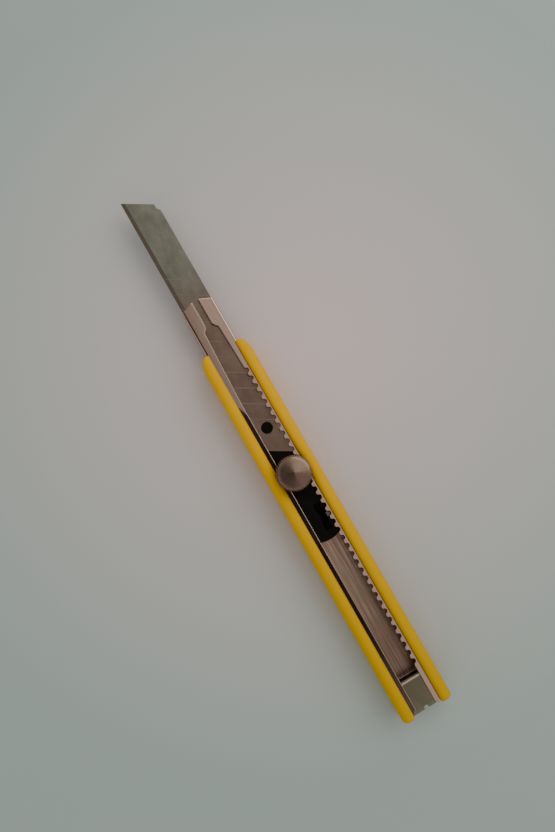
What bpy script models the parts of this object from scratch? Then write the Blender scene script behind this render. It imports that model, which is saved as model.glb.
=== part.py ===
"""Snap-off utility knife: a moulded sleeve round a folded steel channel, a slider that
carries the blade, a thumb wheel that clamps it, and a pull-out blade snapper at the tail.

Frame: metres. +X points to the blade's tip, +Z out of the channel's slot, +Y to the
cutting edge's side. The origin is the middle of the sleeve's flat back. Lengths below are
in millimetres, and "rack side" is -Y, where the channel's lip is scalloped.
"""
import math

import bmesh
import bpy
from mathutils import Matrix, Vector

MM = 0.001

# Handle sleeve
SLEEVE_LENGTH = 110.9
SLEEVE_WALL = 2.39
SLEEVE_BACK = 1.8
RAIL_OVERHANG = 0.81
RAIL_HEIGHT = 1.9
SLEEVE_FRONT_TAPER = (4.6, 2.0)
SLEEVE_TAIL_TAPER = (0.7, 0.5)
SLEEVE_EDGE_ROUND = 0.45
RAIL_OUTER_RADIUS = 1.9
RAIL_INNER_RADIUS = 1.1
SLEEVE_BACK_RADIUS = 1.7

# Folded steel channel
SHEET = 0.35
CHANNEL_NOSE = 14.2
CHANNEL_STANDS_OUT = 0.25
CHANNEL_DEPTH = 4.9
CHANNEL_FLOOR_BEND = 0.9
CHANNEL_LIP_BEND = 0.55
LIP_RISE = 0.1
LIP_FRONT_REACH = 1.4
THROAT_LENGTH = 6.7
THROAT_CHAMFER = 1.5
THROAT_RACK_EDGE = 0.95
THROAT_PLAIN_EDGE = 0.85
SLOT_RACK_EDGE = 2.3
SLOT_PLAIN_EDGE = 2.0
SLOT_PLAIN_EDGE_REAR = 2.85
SLOT_PLAIN_TAPER = 30.0
LIP_TAIL_CHAMFER = 1.7

# Scalloped rack
RACK_PITCH = 2.5
RACK_SETBACK = 22.7
RACK_TIP_EDGE = 2.7
RACK_NOTCH_RADIUS = 0.72
RACK_NOTCH_CENTRE = 2.94
RACK_TIP_FLAT = 0.16

# Snap-off blade
BLADE_WIDTH = 9.0
BLADE_THICKNESS = 0.4
BLADE_EDGE_LENGTH = 80.05
BLADE_ANGLE = math.radians(60.0)
BLADE_BEVEL = 1.1
BLADE_EDGE_THICKNESS = 0.06
SCORE_PITCH = 5.0
SCORE_COUNT = 13
SCORE_DEPTH = 0.04
SCORE_HALF_WIDTH = 0.09
SNAPPED_LEDGE_WIDTH = 0.86
SNAPPED_LEDGE_LENGTH = 1.4
SNAPPED_LEDGE_RISE = 0.4
BLADE_HOLE_RADIUS = 1.65

# Slider, from its click tooth forward to the wheel, the blade's tail and the peg
CLICK_NOTCH_INDEX = 18
SLIDER_BEHIND_TOOTH = 6.4
TOOTH_TO_WHEEL = 14.1
WHEEL_TO_BLADE_CORNER = 4.35
WHEEL_TO_PEG = 14.3
SLIDER_BEYOND_PEG = 3.5
SLIDER_NOSE_RADIUS = 2.5
SLIDER_TAIL_BULGE = 1.3
SLIDER_KEEL_CHAMFER = 0.45

# Click spring
SPRING_THICKNESS = 0.2
SPRING_HEIGHT = 1.3
SPRING_HALF_LENGTH = 3.6
SPRING_BOW = 1.3
SPRING_SINK = 0.5
SPRING_FEET = 0.4

# Thumb wheel and clamp
WHEEL_RADIUS = 5.0
WHEEL_HUB_RADIUS = 3.45
WHEEL_RIM_HEIGHT = 2.9
WHEEL_CONE_RISE = 0.9
WHEEL_EDGE_CHAMFER = 0.3
KNURL_TEETH = 48
KNURL_DEPTH = 0.2
STUD_RADIUS = 1.45
STUD_HEAD_RADIUS = 2.4
STUD_HEAD_HEIGHT = 0.6
STUD_TOP_DEPTH = 0.9
CLAMP_PLATE_LENGTH = 7.6
CLAMP_PLATE_SIDE_GAP = 0.36
CLAMP_PLATE_THICKNESS = 0.8
CLAMP_TRAVEL = 0.5
WASHER_RADIUS = 3.5
WASHER_THICKNESS = 0.4

# Blade snapper in the tail
SNAPPER_LENGTH = 9.15
SNAPPER_SHEET = 0.5
SNAPPER_SIDE_GAP = 0.51
SNAPPER_BEND = 0.9
SNAPPER_LEAF_DROP = 1.0
SNAP_SLOT = (1.1, 1.2)
PLUG_SLOT_DEPTH = 5.6

# Clearances
FIT = 0.06
REST_GAP = 0.05
BODY_GAP = 0.1
CUT_GAP = 0.3

# Places along the knife that several pieces share
CHANNEL_FRONT = SLEEVE_LENGTH / 2 + CHANNEL_NOSE
CHANNEL_TAIL = -SLEEVE_LENGTH / 2 - CHANNEL_STANDS_OUT
SNAPPER_END = CHANNEL_TAIL - BODY_GAP
SNAPPER_LEAF_FRONT = SNAPPER_END + SNAPPER_LENGTH
THROAT_END = CHANNEL_FRONT - THROAT_LENGTH
THROAT_CHAMFER_END = THROAT_END - THROAT_CHAMFER
SLOT_PLAIN_TAPER_END = CHANNEL_FRONT - SLOT_PLAIN_TAPER
RACK_FIRST = CHANNEL_FRONT - RACK_SETBACK
RACK_COUNT = int((RACK_FIRST - SNAPPER_LEAF_FRONT) / RACK_PITCH)
CLICK_X = RACK_FIRST - CLICK_NOTCH_INDEX * RACK_PITCH
SLIDER_REAR = CLICK_X - SLIDER_BEHIND_TOOTH
WHEEL_X = CLICK_X + TOOTH_TO_WHEEL
BLADE_TAIL = WHEEL_X + WHEEL_TO_BLADE_CORNER + BLADE_WIDTH / math.tan(BLADE_ANGLE)
BLADE_TIP = BLADE_TAIL + BLADE_EDGE_LENGTH
BLADE_HOLE_X = WHEEL_X + WHEEL_TO_PEG
SLIDER_FRONT = BLADE_HOLE_X + SLIDER_BEYOND_PEG

# Widths that several pieces share
CHANNEL_WIDTH = BLADE_WIDTH + 2 * FIT + 2 * SHEET
SLIDER_WIDTH = CHANNEL_WIDTH - 2 * SHEET - 2 * FIT
CLAMP_PLATE_WIDTH = CHANNEL_WIDTH - 2 * SHEET - 2 * CLAMP_PLATE_SIDE_GAP
SNAPPER_WIDTH = CHANNEL_WIDTH - 2 * SHEET - 2 * SNAPPER_SIDE_GAP
SLEEVE_CAVITY = CHANNEL_WIDTH + 2 * BODY_GAP
SLEEVE_WIDTH = SLEEVE_CAVITY + 2 * SLEEVE_WALL
SLEEVE_OPENING = SLEEVE_CAVITY - 2 * RAIL_OVERHANG

# Heights that several pieces share
CHANNEL_BOTTOM = SLEEVE_BACK + BODY_GAP
FLOOR_TOP = CHANNEL_BOTTOM + SHEET
LIP_TOP = CHANNEL_BOTTOM + CHANNEL_DEPTH
LIP_ROOT = CHANNEL_WIDTH / 2 - CHANNEL_LIP_BEND
LIP_UNDER = LIP_TOP - SHEET
BLADE_TOP = LIP_UNDER - BODY_GAP
BLADE_BOTTOM = BLADE_TOP - BLADE_THICKNESS
SLIDER_BOTTOM = FLOOR_TOP + BODY_GAP
SLIDER_TOP = LIP_UNDER - BODY_GAP
SLIDER_DECK = BLADE_BOTTOM - REST_GAP
LIP_SLOPE = LIP_RISE / (LIP_ROOT - SLOT_PLAIN_EDGE)
LIP_EDGE_TOP = LIP_TOP + LIP_SLOPE * (LIP_ROOT - THROAT_PLAIN_EDGE)
SLEEVE_LEDGE = LIP_TOP + BODY_GAP
SLEEVE_HEIGHT = SLEEVE_LEDGE + RAIL_HEIGHT
WASHER_BOTTOM = LIP_EDGE_TOP + REST_GAP
WHEEL_BOTTOM = WASHER_BOTTOM + WASHER_THICKNESS + REST_GAP
WHEEL_RIM_BOTTOM = SLEEVE_HEIGHT + CUT_GAP
WHEEL_RIM_TOP = WHEEL_RIM_BOTTOM + WHEEL_RIM_HEIGHT
STUD_TOP = WHEEL_RIM_TOP - STUD_TOP_DEPTH
CLAMP_PLATE_TOP = LIP_UNDER - REST_GAP
CLAMP_PLATE_BOTTOM = CLAMP_PLATE_TOP - CLAMP_PLATE_THICKNESS
STUD_BOTTOM = CLAMP_PLATE_BOTTOM - REST_GAP - STUD_HEAD_HEIGHT


def clear_scene():
    """Remove every object that is already in the file."""
    for thing in list(bpy.data.objects):
        bpy.data.objects.remove(thing, do_unlink=True)


def make_material(name, colour, metallic, roughness):
    """Return a plain Principled material."""
    material = bpy.data.materials.new(name)
    material.use_nodes = True
    shader = material.node_tree.nodes["Principled BSDF"]
    shader.inputs["Base Color"].default_value = (*colour, 1.0)
    shader.inputs["Metallic"].default_value = metallic
    shader.inputs["Roughness"].default_value = roughness
    material.diffuse_color = (*colour, 1.0)
    return material


def fillet(corners, steps=4, closed=True):
    """Return a 2-D outline with each (a, b, radius) corner rounded."""
    outline = []
    count = len(corners)
    for index, (a, b, radius) in enumerate(corners):
        point = Vector((a, b))
        is_end = not closed and index in (0, count - 1)
        if radius <= 0 or is_end:
            outline.append(point)
            continue
        before = Vector(corners[index - 1][:2]) - point
        after = Vector(corners[(index + 1) % count][:2]) - point
        half_angle = before.angle(after) / 2
        reach = radius / math.tan(half_angle)
        start = point + before.normalized() * reach
        end = point + after.normalized() * reach
        middle = (before.normalized() + after.normalized()).normalized()
        centre = point + middle * radius / math.sin(half_angle)
        sweep = (start - centre).angle_signed(end - centre)
        for step in range(steps + 1):
            arm = start - centre
            arm.rotate(Matrix.Rotation(-sweep * step / steps, 2))
            outline.append(centre + arm)
    return outline


def loft(bm, rings):
    """Join rings of equal length into one closed body with flat ends."""
    layers = [[bm.verts.new(Vector(p)) for p in ring] for ring in rings]
    for first, second in zip(layers, layers[1:]):
        for index, vert in enumerate(first):
            nearby = (index + 1) % len(first)
            bm.faces.new((vert, first[nearby], second[nearby], second[index]))
    bm.faces.new(layers[0])
    bm.faces.new(layers[-1])


def prism(bm, outline, bottom, top):
    """Extrude a plan outline of (x, y) points from one height to another."""
    loft(bm, [[(x, y, z) for x, y in outline] for z in (bottom, top)])


def side_prism(bm, outline, half_width):
    """Extrude a side outline of (x, z) points across the width."""
    loft(bm, [[(x, y, z) for x, z in outline] for y in (-half_width, half_width)])


def revolve(bm, centre, profile, count):
    """Turn a closed (radius, z, knurl depth) profile about a vertical axis."""
    rings = []
    for radius, z, depth in profile:
        if radius == 0:
            rings.append([bm.verts.new((centre, 0, z))])
            continue
        ring = []
        for index in range(count):
            angle = 2 * math.pi * index / count
            reach = radius - depth * (index % 2)
            place = (centre + reach * math.cos(angle), reach * math.sin(angle), z)
            ring.append(bm.verts.new(place))
        rings.append(ring)
    for first, second in zip(rings, rings[1:] + rings[:1]):
        if len(first) == 1 and len(second) == 1:
            continue
        for index in range(count):
            nearby = (index + 1) % count
            corners = [first[index % len(first)], first[nearby % len(first)]]
            corners += [second[nearby % len(second)], second[index % len(second)]]
            bm.faces.new(dict.fromkeys(corners))


def add_piece(name, bm, material, origin=(0, 0, 0), smooth=None):
    """Turn a mesh drawn in millimetres into a named object with its own origin."""
    bmesh.ops.translate(bm, verts=bm.verts, vec=-Vector(origin))
    bmesh.ops.scale(bm, verts=bm.verts, vec=(MM, MM, MM))
    bmesh.ops.recalc_face_normals(bm, faces=bm.faces)
    mesh = bpy.data.meshes.new(name)
    bm.to_mesh(mesh)
    bm.free()
    mesh.materials.append(material)
    piece = bpy.data.objects.new(name, mesh)
    piece.location = Vector(origin) * MM
    bpy.context.scene.collection.objects.link(piece)
    if smooth is not None:
        mesh.shade_smooth()
        mesh.set_sharp_from_angle(angle=math.radians(smooth))
    return piece


def add_cutter(name, bm, target):
    """Subtract a hidden guide body from a piece."""
    cutter = add_piece(name, bm, target.data.materials[0], target.location / MM)
    cutter.hide_render = True
    cutter.display_type = "WIRE"
    cut = target.modifiers.new(name, "BOOLEAN")
    cut.operation = "DIFFERENCE"
    cut.solver = "EXACT"
    cut.object = cutter


def box_outline(x_low, x_high, y_low, y_high):
    """Return a plan rectangle."""
    return [(x_low, y_low), (x_high, y_low), (x_high, y_high), (x_low, y_high)]


def add_sleeve(material):
    """C-section sleeve with two crowned rails, rounded in at both ends."""
    half = SLEEVE_WIDTH / 2
    cavity = SLEEVE_CAVITY / 2
    opening = SLEEVE_OPENING / 2
    ledge = SLEEVE_LEDGE
    right = [
        (half, 0, SLEEVE_BACK_RADIUS),
        (half, SLEEVE_HEIGHT, RAIL_OUTER_RADIUS),
        (opening, SLEEVE_HEIGHT, RAIL_INNER_RADIUS),
        (opening, ledge, 0),
        (cavity, ledge, 0),
        (cavity, SLEEVE_BACK, 0.4),
    ]
    left = [(-y, z, radius) for y, z, radius in reversed(right)]
    section = fillet(right + left, steps=6)
    rings = []
    for x, side_inset, edge_inset in sleeve_stations():
        ring = []
        for y, z in section:
            weight = min(1.0, max(0.0, (abs(y) - cavity) / (half - cavity)))
            outer_y = y - math.copysign(side_inset * weight, y)
            top_weight = min(1.0, max(0.0, (z - ledge) / (SLEEVE_HEIGHT - ledge)))
            ring.append((x, outer_y, z - edge_inset * top_weight))
        rings.append(ring)
    bm = bmesh.new()
    loft(bm, rings)
    return add_piece("handle_sleeve", bm, material, smooth=35)


def sleeve_stations():
    """Return (x, side inset, top inset) for each ring from the tail to the front."""
    half = SLEEVE_LENGTH / 2
    stations = []
    tail_length, tail_depth = SLEEVE_TAIL_TAPER
    front_length, front_depth = SLEEVE_FRONT_TAPER
    for share in (0.0, 0.08, 0.25, 0.55, 1.0):
        distance = share * tail_length
        inset = tail_depth * quarter_ellipse(share)
        top = SLEEVE_EDGE_ROUND * quarter_ellipse(distance / tail_length)
        stations.append((distance - half, inset, top))
    for share in (1.0, 0.75, 0.5, 0.32, 0.18, 0.08, 0.02, 0.0):
        distance = share * front_length
        inset = front_depth * quarter_ellipse(share)
        top = 2 * SLEEVE_EDGE_ROUND * quarter_ellipse(share)
        stations.append((half - distance, inset, top))
    return stations


def quarter_ellipse(share):
    """Return how deep a rounded end is, 1 at its face and 0 where it runs out."""
    return 1 - math.sqrt(max(0.0, 1 - (1 - share) ** 2))


def rack_lip_edge():
    """Plan of the scalloped lip's free edge, from front to tail."""
    points = [
        (CHANNEL_FRONT + LIP_FRONT_REACH, -THROAT_RACK_EDGE),
        (THROAT_END, -THROAT_RACK_EDGE),
        (THROAT_CHAMFER_END, -SLOT_RACK_EDGE),
    ]
    for index in range(RACK_COUNT):
        centre = RACK_FIRST - index * RACK_PITCH
        points.append((centre + RACK_PITCH / 2 - RACK_TIP_FLAT, -RACK_TIP_EDGE))
        for step in range(7):
            angle = math.pi * step / 6
            x = centre + RACK_NOTCH_RADIUS * math.cos(angle)
            y = RACK_NOTCH_CENTRE + RACK_NOTCH_RADIUS * math.sin(angle)
            points.append((x, -y))
        points.append((centre - RACK_PITCH / 2 + RACK_TIP_FLAT, -RACK_TIP_EDGE))
    chamfer = LIP_TAIL_CHAMFER / 2
    points.append((CHANNEL_TAIL + chamfer, -RACK_TIP_EDGE))
    points.append((CHANNEL_TAIL, -RACK_TIP_EDGE - chamfer))
    return points


def plain_lip_edge():
    """Plan of the straight lip's free edge, from front to tail."""
    rounded = fillet(
        [
            (CHANNEL_FRONT, LIP_ROOT, 0),
            (CHANNEL_FRONT + LIP_FRONT_REACH, THROAT_PLAIN_EDGE, 0.5),
            (THROAT_END, THROAT_PLAIN_EDGE, 0),
        ],
        closed=False,
    )
    return rounded[1:] + [
        Vector((THROAT_CHAMFER_END, SLOT_PLAIN_EDGE)),
        Vector((SLOT_PLAIN_TAPER_END, SLOT_PLAIN_EDGE_REAR)),
        Vector((CHANNEL_TAIL + LIP_TAIL_CHAMFER, SLOT_PLAIN_EDGE_REAR)),
        Vector((CHANNEL_TAIL, LIP_ROOT - 0.1)),
    ]


def add_channel(material):
    """Folded sheet channel whose two lips leave the slider's slot."""
    half = CHANNEL_WIDTH / 2
    path = fillet(
        [
            (-LIP_ROOT + 1, LIP_TOP, 0),
            (-half, LIP_TOP, CHANNEL_LIP_BEND),
            (-half, CHANNEL_BOTTOM, CHANNEL_FLOOR_BEND),
            (half, CHANNEL_BOTTOM, CHANNEL_FLOOR_BEND),
            (half, LIP_TOP, CHANNEL_LIP_BEND),
            (LIP_ROOT - 1, LIP_TOP, 0),
        ],
        steps=5,
        closed=False,
    )[1:-1]
    bm = bmesh.new()
    tail = [bm.verts.new((CHANNEL_TAIL, y, z)) for y, z in path]
    front = [bm.verts.new((CHANNEL_FRONT, y, z)) for y, z in path]
    for index in range(len(path) - 1):
        bm.faces.new((tail[index], tail[index + 1], front[index + 1], front[index]))
    for edge, root in ((rack_lip_edge(), 0), (plain_lip_edge(), -1)):
        loop = [front[root]]
        for x, y in edge:
            loop.append(bm.verts.new((x, y, lip_height(y))))
        bm.faces.new(loop + [tail[root]])
    bmesh.ops.recalc_face_normals(bm, faces=bm.faces)
    piece = add_piece("blade_channel", bm, material, smooth=35)
    fold = piece.modifiers.new("sheet", "SOLIDIFY")
    fold.thickness = SHEET * MM
    fold.offset = channel_offset(piece)
    fold.use_even_offset = True
    return piece


def lip_height(y):
    """Return the height of a lip's top face, which rises a little to the slot."""
    return LIP_TOP + LIP_SLOPE * (LIP_ROOT - abs(y))


def channel_offset(piece):
    """Return the solidify direction that puts the sheet inside the drawn skin."""
    floor = min(piece.data.polygons, key=lambda face: face.center.z)
    return -1.0 if floor.normal.z < 0 else 1.0


def blade_line(x, y):
    """Return x moved along the slanted score direction to height y across the blade."""
    return x - (BLADE_WIDTH / 2 - y) / math.tan(BLADE_ANGLE)


def blade_ring(x, sunk, ledge=0.0, rise=0.0):
    """One slanted section of the blade, with its top face sunk for a score line."""
    half = BLADE_WIDTH / 2
    flat = half - BLADE_BEVEL
    inner = -half + SNAPPED_LEDGE_WIDTH
    outer = inner - FIT
    middle = (BLADE_TOP + BLADE_BOTTOM) / 2
    plan = [
        (blade_line(x, -half) - ledge - rise, -half),
        (blade_line(x, outer) - ledge, outer),
        (blade_line(x, inner), inner),
        (blade_line(x, flat), flat),
    ]
    edge = [
        (x, half, middle + BLADE_EDGE_THICKNESS / 2),
        (x, half, middle - BLADE_EDGE_THICKNESS / 2),
    ]
    top = [(px, py, BLADE_TOP - sunk) for px, py in plan]
    bottom = [(px, py, BLADE_BOTTOM) for px, py in reversed(plan)]
    return top + edge + bottom


def add_blade(material):
    """Blade with a ground edge, slanted score lines and a hole for the slider's peg."""
    rings = [blade_ring(BLADE_TIP, 0, SNAPPED_LEDGE_LENGTH, SNAPPED_LEDGE_RISE)]
    for index in range(1, SCORE_COUNT + 1):
        x = BLADE_TIP - index * SCORE_PITCH
        rings.append(blade_ring(x + SCORE_HALF_WIDTH, 0))
        rings.append(blade_ring(x, SCORE_DEPTH))
        rings.append(blade_ring(x - SCORE_HALF_WIDTH, 0))
    rings.append(blade_ring(BLADE_TAIL, 0))
    bm = bmesh.new()
    loft(bm, rings)
    blade = add_piece("snap_off_blade", bm, material)
    hole = bmesh.new()
    reach = BLADE_THICKNESS
    outline = circle(BLADE_HOLE_X, 0, BLADE_HOLE_RADIUS, 48)
    prism(hole, outline, BLADE_BOTTOM - reach, BLADE_TOP + reach)
    add_cutter("blade_hole", hole, blade)
    return blade


def circle(x, y, radius, count):
    """Return a plan circle."""
    turn = 2 * math.pi / count
    return [
        (x + radius * math.cos(turn * i), y + radius * math.sin(turn * i))
        for i in range(count)
    ]


def slider_outline():
    """Plan of the slider, from its rounded front corners to its convex tail."""
    half = SLIDER_WIDTH / 2
    shoulder = SLIDER_REAR + SLIDER_TAIL_BULGE
    corners = [(shoulder, -half, 0.6), (SLIDER_FRONT, -half, SLIDER_NOSE_RADIUS)]
    corners += [(SLIDER_FRONT, half, SLIDER_NOSE_RADIUS), (shoulder, half, 0.6)]
    outline = [tuple(point) for point in fillet(corners)]
    for share in (0.75, 0.5, 0.25, 0.0, -0.25, -0.5, -0.75):
        outline.append((SLIDER_REAR + SLIDER_TAIL_BULGE * share ** 2, half * share))
    return outline


def add_slider(material):
    """Moulded slider: low deck under the blade, high block behind it, and a peg."""
    bm = bmesh.new()
    outline = slider_outline()
    narrow = 1 - 2 * SLIDER_KEEL_CHAMFER / SLIDER_WIDTH
    levels = [(SLIDER_BOTTOM, narrow), (SLIDER_BOTTOM + SLIDER_KEEL_CHAMFER, 1)]
    levels.append((SLIDER_TOP, 1))
    loft(bm, [[(x, y * share, z) for x, y in outline] for z, share in levels])
    slider = add_piece("slider_body", bm, material)
    add_cutter("slider_deck_cut", deck_cut(), slider)
    add_cutter("slider_plate_cut", plate_cut(), slider)
    add_cutter("slider_head_cut", head_cut(), slider)
    add_cutter("slider_spring_cut", spring_cut(), slider)
    return slider


def deck_cut():
    """Space over the deck, cut round the peg and along the blade's slanted tail."""
    half = SLIDER_WIDTH
    gap = CUT_GAP
    front = SLIDER_FRONT + half
    peg = circle(BLADE_HOLE_X, 0, BLADE_HOLE_RADIUS - FIT, 48)
    outer = [
        (blade_line(BLADE_TAIL, -half) - gap, -half),
        (front, -half),
        (front, half),
        (blade_line(BLADE_TAIL, half) - gap, half),
    ]
    bm = bmesh.new()
    ring_prism(bm, outer, peg, SLIDER_DECK, LIP_TOP)
    return bm


def ring_prism(bm, outer, inner, bottom, top):
    """Extrude the plan area between an outer quadrilateral and an inner loop."""
    loops = []
    for z in (bottom, top):
        loops.append([[bm.verts.new((x, y, z)) for x, y in loop] for loop in (outer, inner)])
    for index in (0, 1):
        low, high = loops[0][index], loops[1][index]
        for at, vert in enumerate(low):
            nearby = (at + 1) % len(low)
            bm.faces.new((vert, low[nearby], high[nearby], high[at]))
    for level in loops:
        edges = []
        for loop in level:
            for at, vert in enumerate(loop):
                edges.append(bm.edges.get((vert, loop[(at + 1) % len(loop)])))
        bmesh.ops.triangle_fill(bm, use_beauty=True, edges=edges)


def plate_cut():
    """Pocket across the slider's top for the clamp plate and its travel."""
    half = CLAMP_PLATE_LENGTH / 2 + CUT_GAP
    outline = box_outline(WHEEL_X - half, WHEEL_X + half, -SLIDER_WIDTH, SLIDER_WIDTH)
    bm = bmesh.new()
    prism(bm, outline, CLAMP_PLATE_BOTTOM - CLAMP_TRAVEL - BODY_GAP, LIP_TOP)
    return bm


def head_cut():
    """Round pocket under the clamp plate for the stud's head and its travel."""
    outline = circle(WHEEL_X, 0, STUD_HEAD_RADIUS + CUT_GAP, 48)
    bm = bmesh.new()
    prism(bm, outline, STUD_BOTTOM - CLAMP_TRAVEL - BODY_GAP, LIP_TOP)
    return bm


def spring_cut():
    """Pocket in the slider's top for the click spring, open to the rack side."""
    x = CLICK_X
    half = SPRING_HALF_LENGTH + CUT_GAP
    y_back = -SPRING_FEET + BODY_GAP
    y_front = y_back - SPRING_BOW - SPRING_THICKNESS - CUT_GAP
    outline = [
        (x - half, y_back),
        (x - half, y_front),
        (x - 1.0, y_front),
        (x - 1.0, -SLIDER_WIDTH),
        (x + 1.0, -SLIDER_WIDTH),
        (x + 1.0, y_front),
        (x + half, y_front),
        (x + half, y_back),
    ]
    bm = bmesh.new()
    prism(bm, outline, SLIDER_TOP - SPRING_HEIGHT - BODY_GAP, LIP_TOP)
    return bm


def add_click_spring(material):
    """Bowed leaf whose middle carries a round-nosed tooth that drops into the rack."""
    x = CLICK_X
    back = -SPRING_FEET
    nose = -(RACK_NOTCH_CENTRE + RACK_NOTCH_RADIUS - CUT_GAP)
    radius = RACK_NOTCH_RADIUS - FIT * 2
    front = []
    rear = []
    for share in (-1.0, -0.75, -0.5, -0.25, 0.25, 0.5, 0.75, 1.0):
        y = back - SPRING_BOW * math.cos(share * math.pi / 2) ** 2
        rear.append((x + share * SPRING_HALF_LENGTH, y))
        front.append((x + share * SPRING_HALF_LENGTH, y - SPRING_THICKNESS))
    tooth = []
    for step in range(7):
        angle = math.pi + math.pi * step / 6
        tooth.append((x + radius * math.cos(angle), nose + radius + radius * math.sin(angle)))
    outline = front[:4] + tooth + front[4:] + rear[::-1]
    bm = bmesh.new()
    prism(bm, outline, SLIDER_TOP - SPRING_HEIGHT, LIP_TOP)
    spring = add_piece("click_spring", bm, material)
    relief = bmesh.new()
    far = SPRING_HALF_LENGTH + CUT_GAP
    low_top = SLIDER_TOP - SPRING_SINK
    keep = -RACK_TIP_EDGE + 0.6
    prism(relief, box_outline(x - far, x + far, keep, back + 1), low_top, LIP_TOP + 1)
    add_cutter("click_spring_relief", relief, spring)
    return spring


def add_clamp(plate_material, stud_material):
    """Clamp plate under the lips and the stud that is riveted through it."""
    half_length = CLAMP_PLATE_LENGTH / 2
    half_width = CLAMP_PLATE_WIDTH / 2
    corners = [
        (WHEEL_X - half_length, -half_width, 0.6),
        (WHEEL_X + half_length, -half_width, 0.6),
        (WHEEL_X + half_length, half_width, 0.6),
        (WHEEL_X - half_length, half_width, 0.6),
    ]
    bm = bmesh.new()
    prism(bm, fillet(corners), CLAMP_PLATE_BOTTOM, CLAMP_PLATE_TOP)
    plate = add_piece("clamp_plate", bm, plate_material, (WHEEL_X, 0, CLAMP_PLATE_TOP))
    hole = bmesh.new()
    outline = circle(WHEEL_X, 0, STUD_RADIUS + REST_GAP, 48)
    prism(hole, outline, CLAMP_PLATE_BOTTOM - 1, CLAMP_PLATE_TOP + 1)
    add_cutter("clamp_plate_hole", hole, plate)
    profile = [
        (0, STUD_BOTTOM, 0),
        (STUD_HEAD_RADIUS - 0.2, STUD_BOTTOM, 0),
        (STUD_HEAD_RADIUS, STUD_BOTTOM + 0.2, 0),
        (STUD_HEAD_RADIUS, STUD_BOTTOM + STUD_HEAD_HEIGHT, 0),
        (STUD_RADIUS, STUD_BOTTOM + STUD_HEAD_HEIGHT, 0),
        (STUD_RADIUS, STUD_TOP - 0.3, 0),
        (STUD_RADIUS - 0.3, STUD_TOP, 0),
        (0, STUD_TOP, 0),
    ]
    bm = bmesh.new()
    revolve(bm, WHEEL_X, profile, 48)
    add_piece("clamp_stud", bm, stud_material, (WHEEL_X, 0, CLAMP_PLATE_TOP), smooth=35)


def add_washer(material):
    """Flat ring between the wheel's hub and the lips."""
    inner = STUD_RADIUS + CUT_GAP
    top = WASHER_BOTTOM + WASHER_THICKNESS
    profile = [
        (inner, WASHER_BOTTOM, 0),
        (WASHER_RADIUS, WASHER_BOTTOM, 0),
        (WASHER_RADIUS, top, 0),
        (inner, top, 0),
    ]
    bm = bmesh.new()
    revolve(bm, WHEEL_X, profile, 64)
    add_piece("wheel_washer", bm, material, (WHEEL_X, 0, WASHER_BOTTOM), smooth=35)


def add_wheel(material):
    """Knurled wheel with a shallow conical top, a hub and a blind threaded bore."""
    bore = STUD_RADIUS + REST_GAP
    bore_top = STUD_TOP + BODY_GAP
    chamfer = WHEEL_EDGE_CHAMFER
    shoulder = WHEEL_RADIUS - KNURL_DEPTH - chamfer
    profile = [
        (0, bore_top, 0),
        (bore, bore_top, 0),
        (bore, WHEEL_BOTTOM, 0),
        (WHEEL_HUB_RADIUS, WHEEL_BOTTOM, 0),
        (WHEEL_HUB_RADIUS, WHEEL_RIM_BOTTOM, 0),
        (shoulder, WHEEL_RIM_BOTTOM, 0),
        (WHEEL_RADIUS, WHEEL_RIM_BOTTOM + chamfer, KNURL_DEPTH),
        (WHEEL_RADIUS, WHEEL_RIM_TOP - chamfer, KNURL_DEPTH),
        (shoulder, WHEEL_RIM_TOP, 0),
        (0, WHEEL_RIM_TOP + WHEEL_CONE_RISE, 0),
    ]
    bm = bmesh.new()
    revolve(bm, WHEEL_X, profile, 2 * KNURL_TEETH)
    add_piece("thumb_wheel", bm, material, (WHEEL_X, 0, WHEEL_RIM_BOTTOM), smooth=25)


def add_snapper(material):
    """U-shaped steel clip round the plug, with a slot in its end to snap blades in."""
    top = LIP_UNDER - BODY_GAP
    bottom = FLOOR_TOP + BODY_GAP
    sheet = SNAPPER_SHEET
    front = SNAPPER_LEAF_FRONT
    corners = [
        (front, bottom, 0),
        (SNAPPER_END, bottom, SNAPPER_BEND),
        (SNAPPER_END, top, SNAPPER_BEND),
        (front, top, SNAPPER_BEND),
        (front, top - SNAPPER_LEAF_DROP, 0),
    ]
    inner = [
        (front - sheet, top - SNAPPER_LEAF_DROP, 0),
        (front - sheet, top - sheet, SNAPPER_BEND - sheet),
        (SNAPPER_END + sheet, top - sheet, SNAPPER_BEND - sheet),
        (SNAPPER_END + sheet, bottom + sheet, SNAPPER_BEND - sheet),
        (front, bottom + sheet, 0),
    ]
    bm = bmesh.new()
    side_prism(bm, fillet(corners + inner), SNAPPER_WIDTH / 2)
    snapper = add_piece("snapper_clip", bm, material)
    depth, width = SNAP_SLOT
    slot = bmesh.new()
    plan = box_outline(SNAPPER_END - 1, SNAPPER_END + depth, -width / 2, width / 2)
    prism(slot, plan, bottom + 2 * sheet, top + 1)
    add_cutter("snap_slot", slot, snapper)
    return snapper


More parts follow.
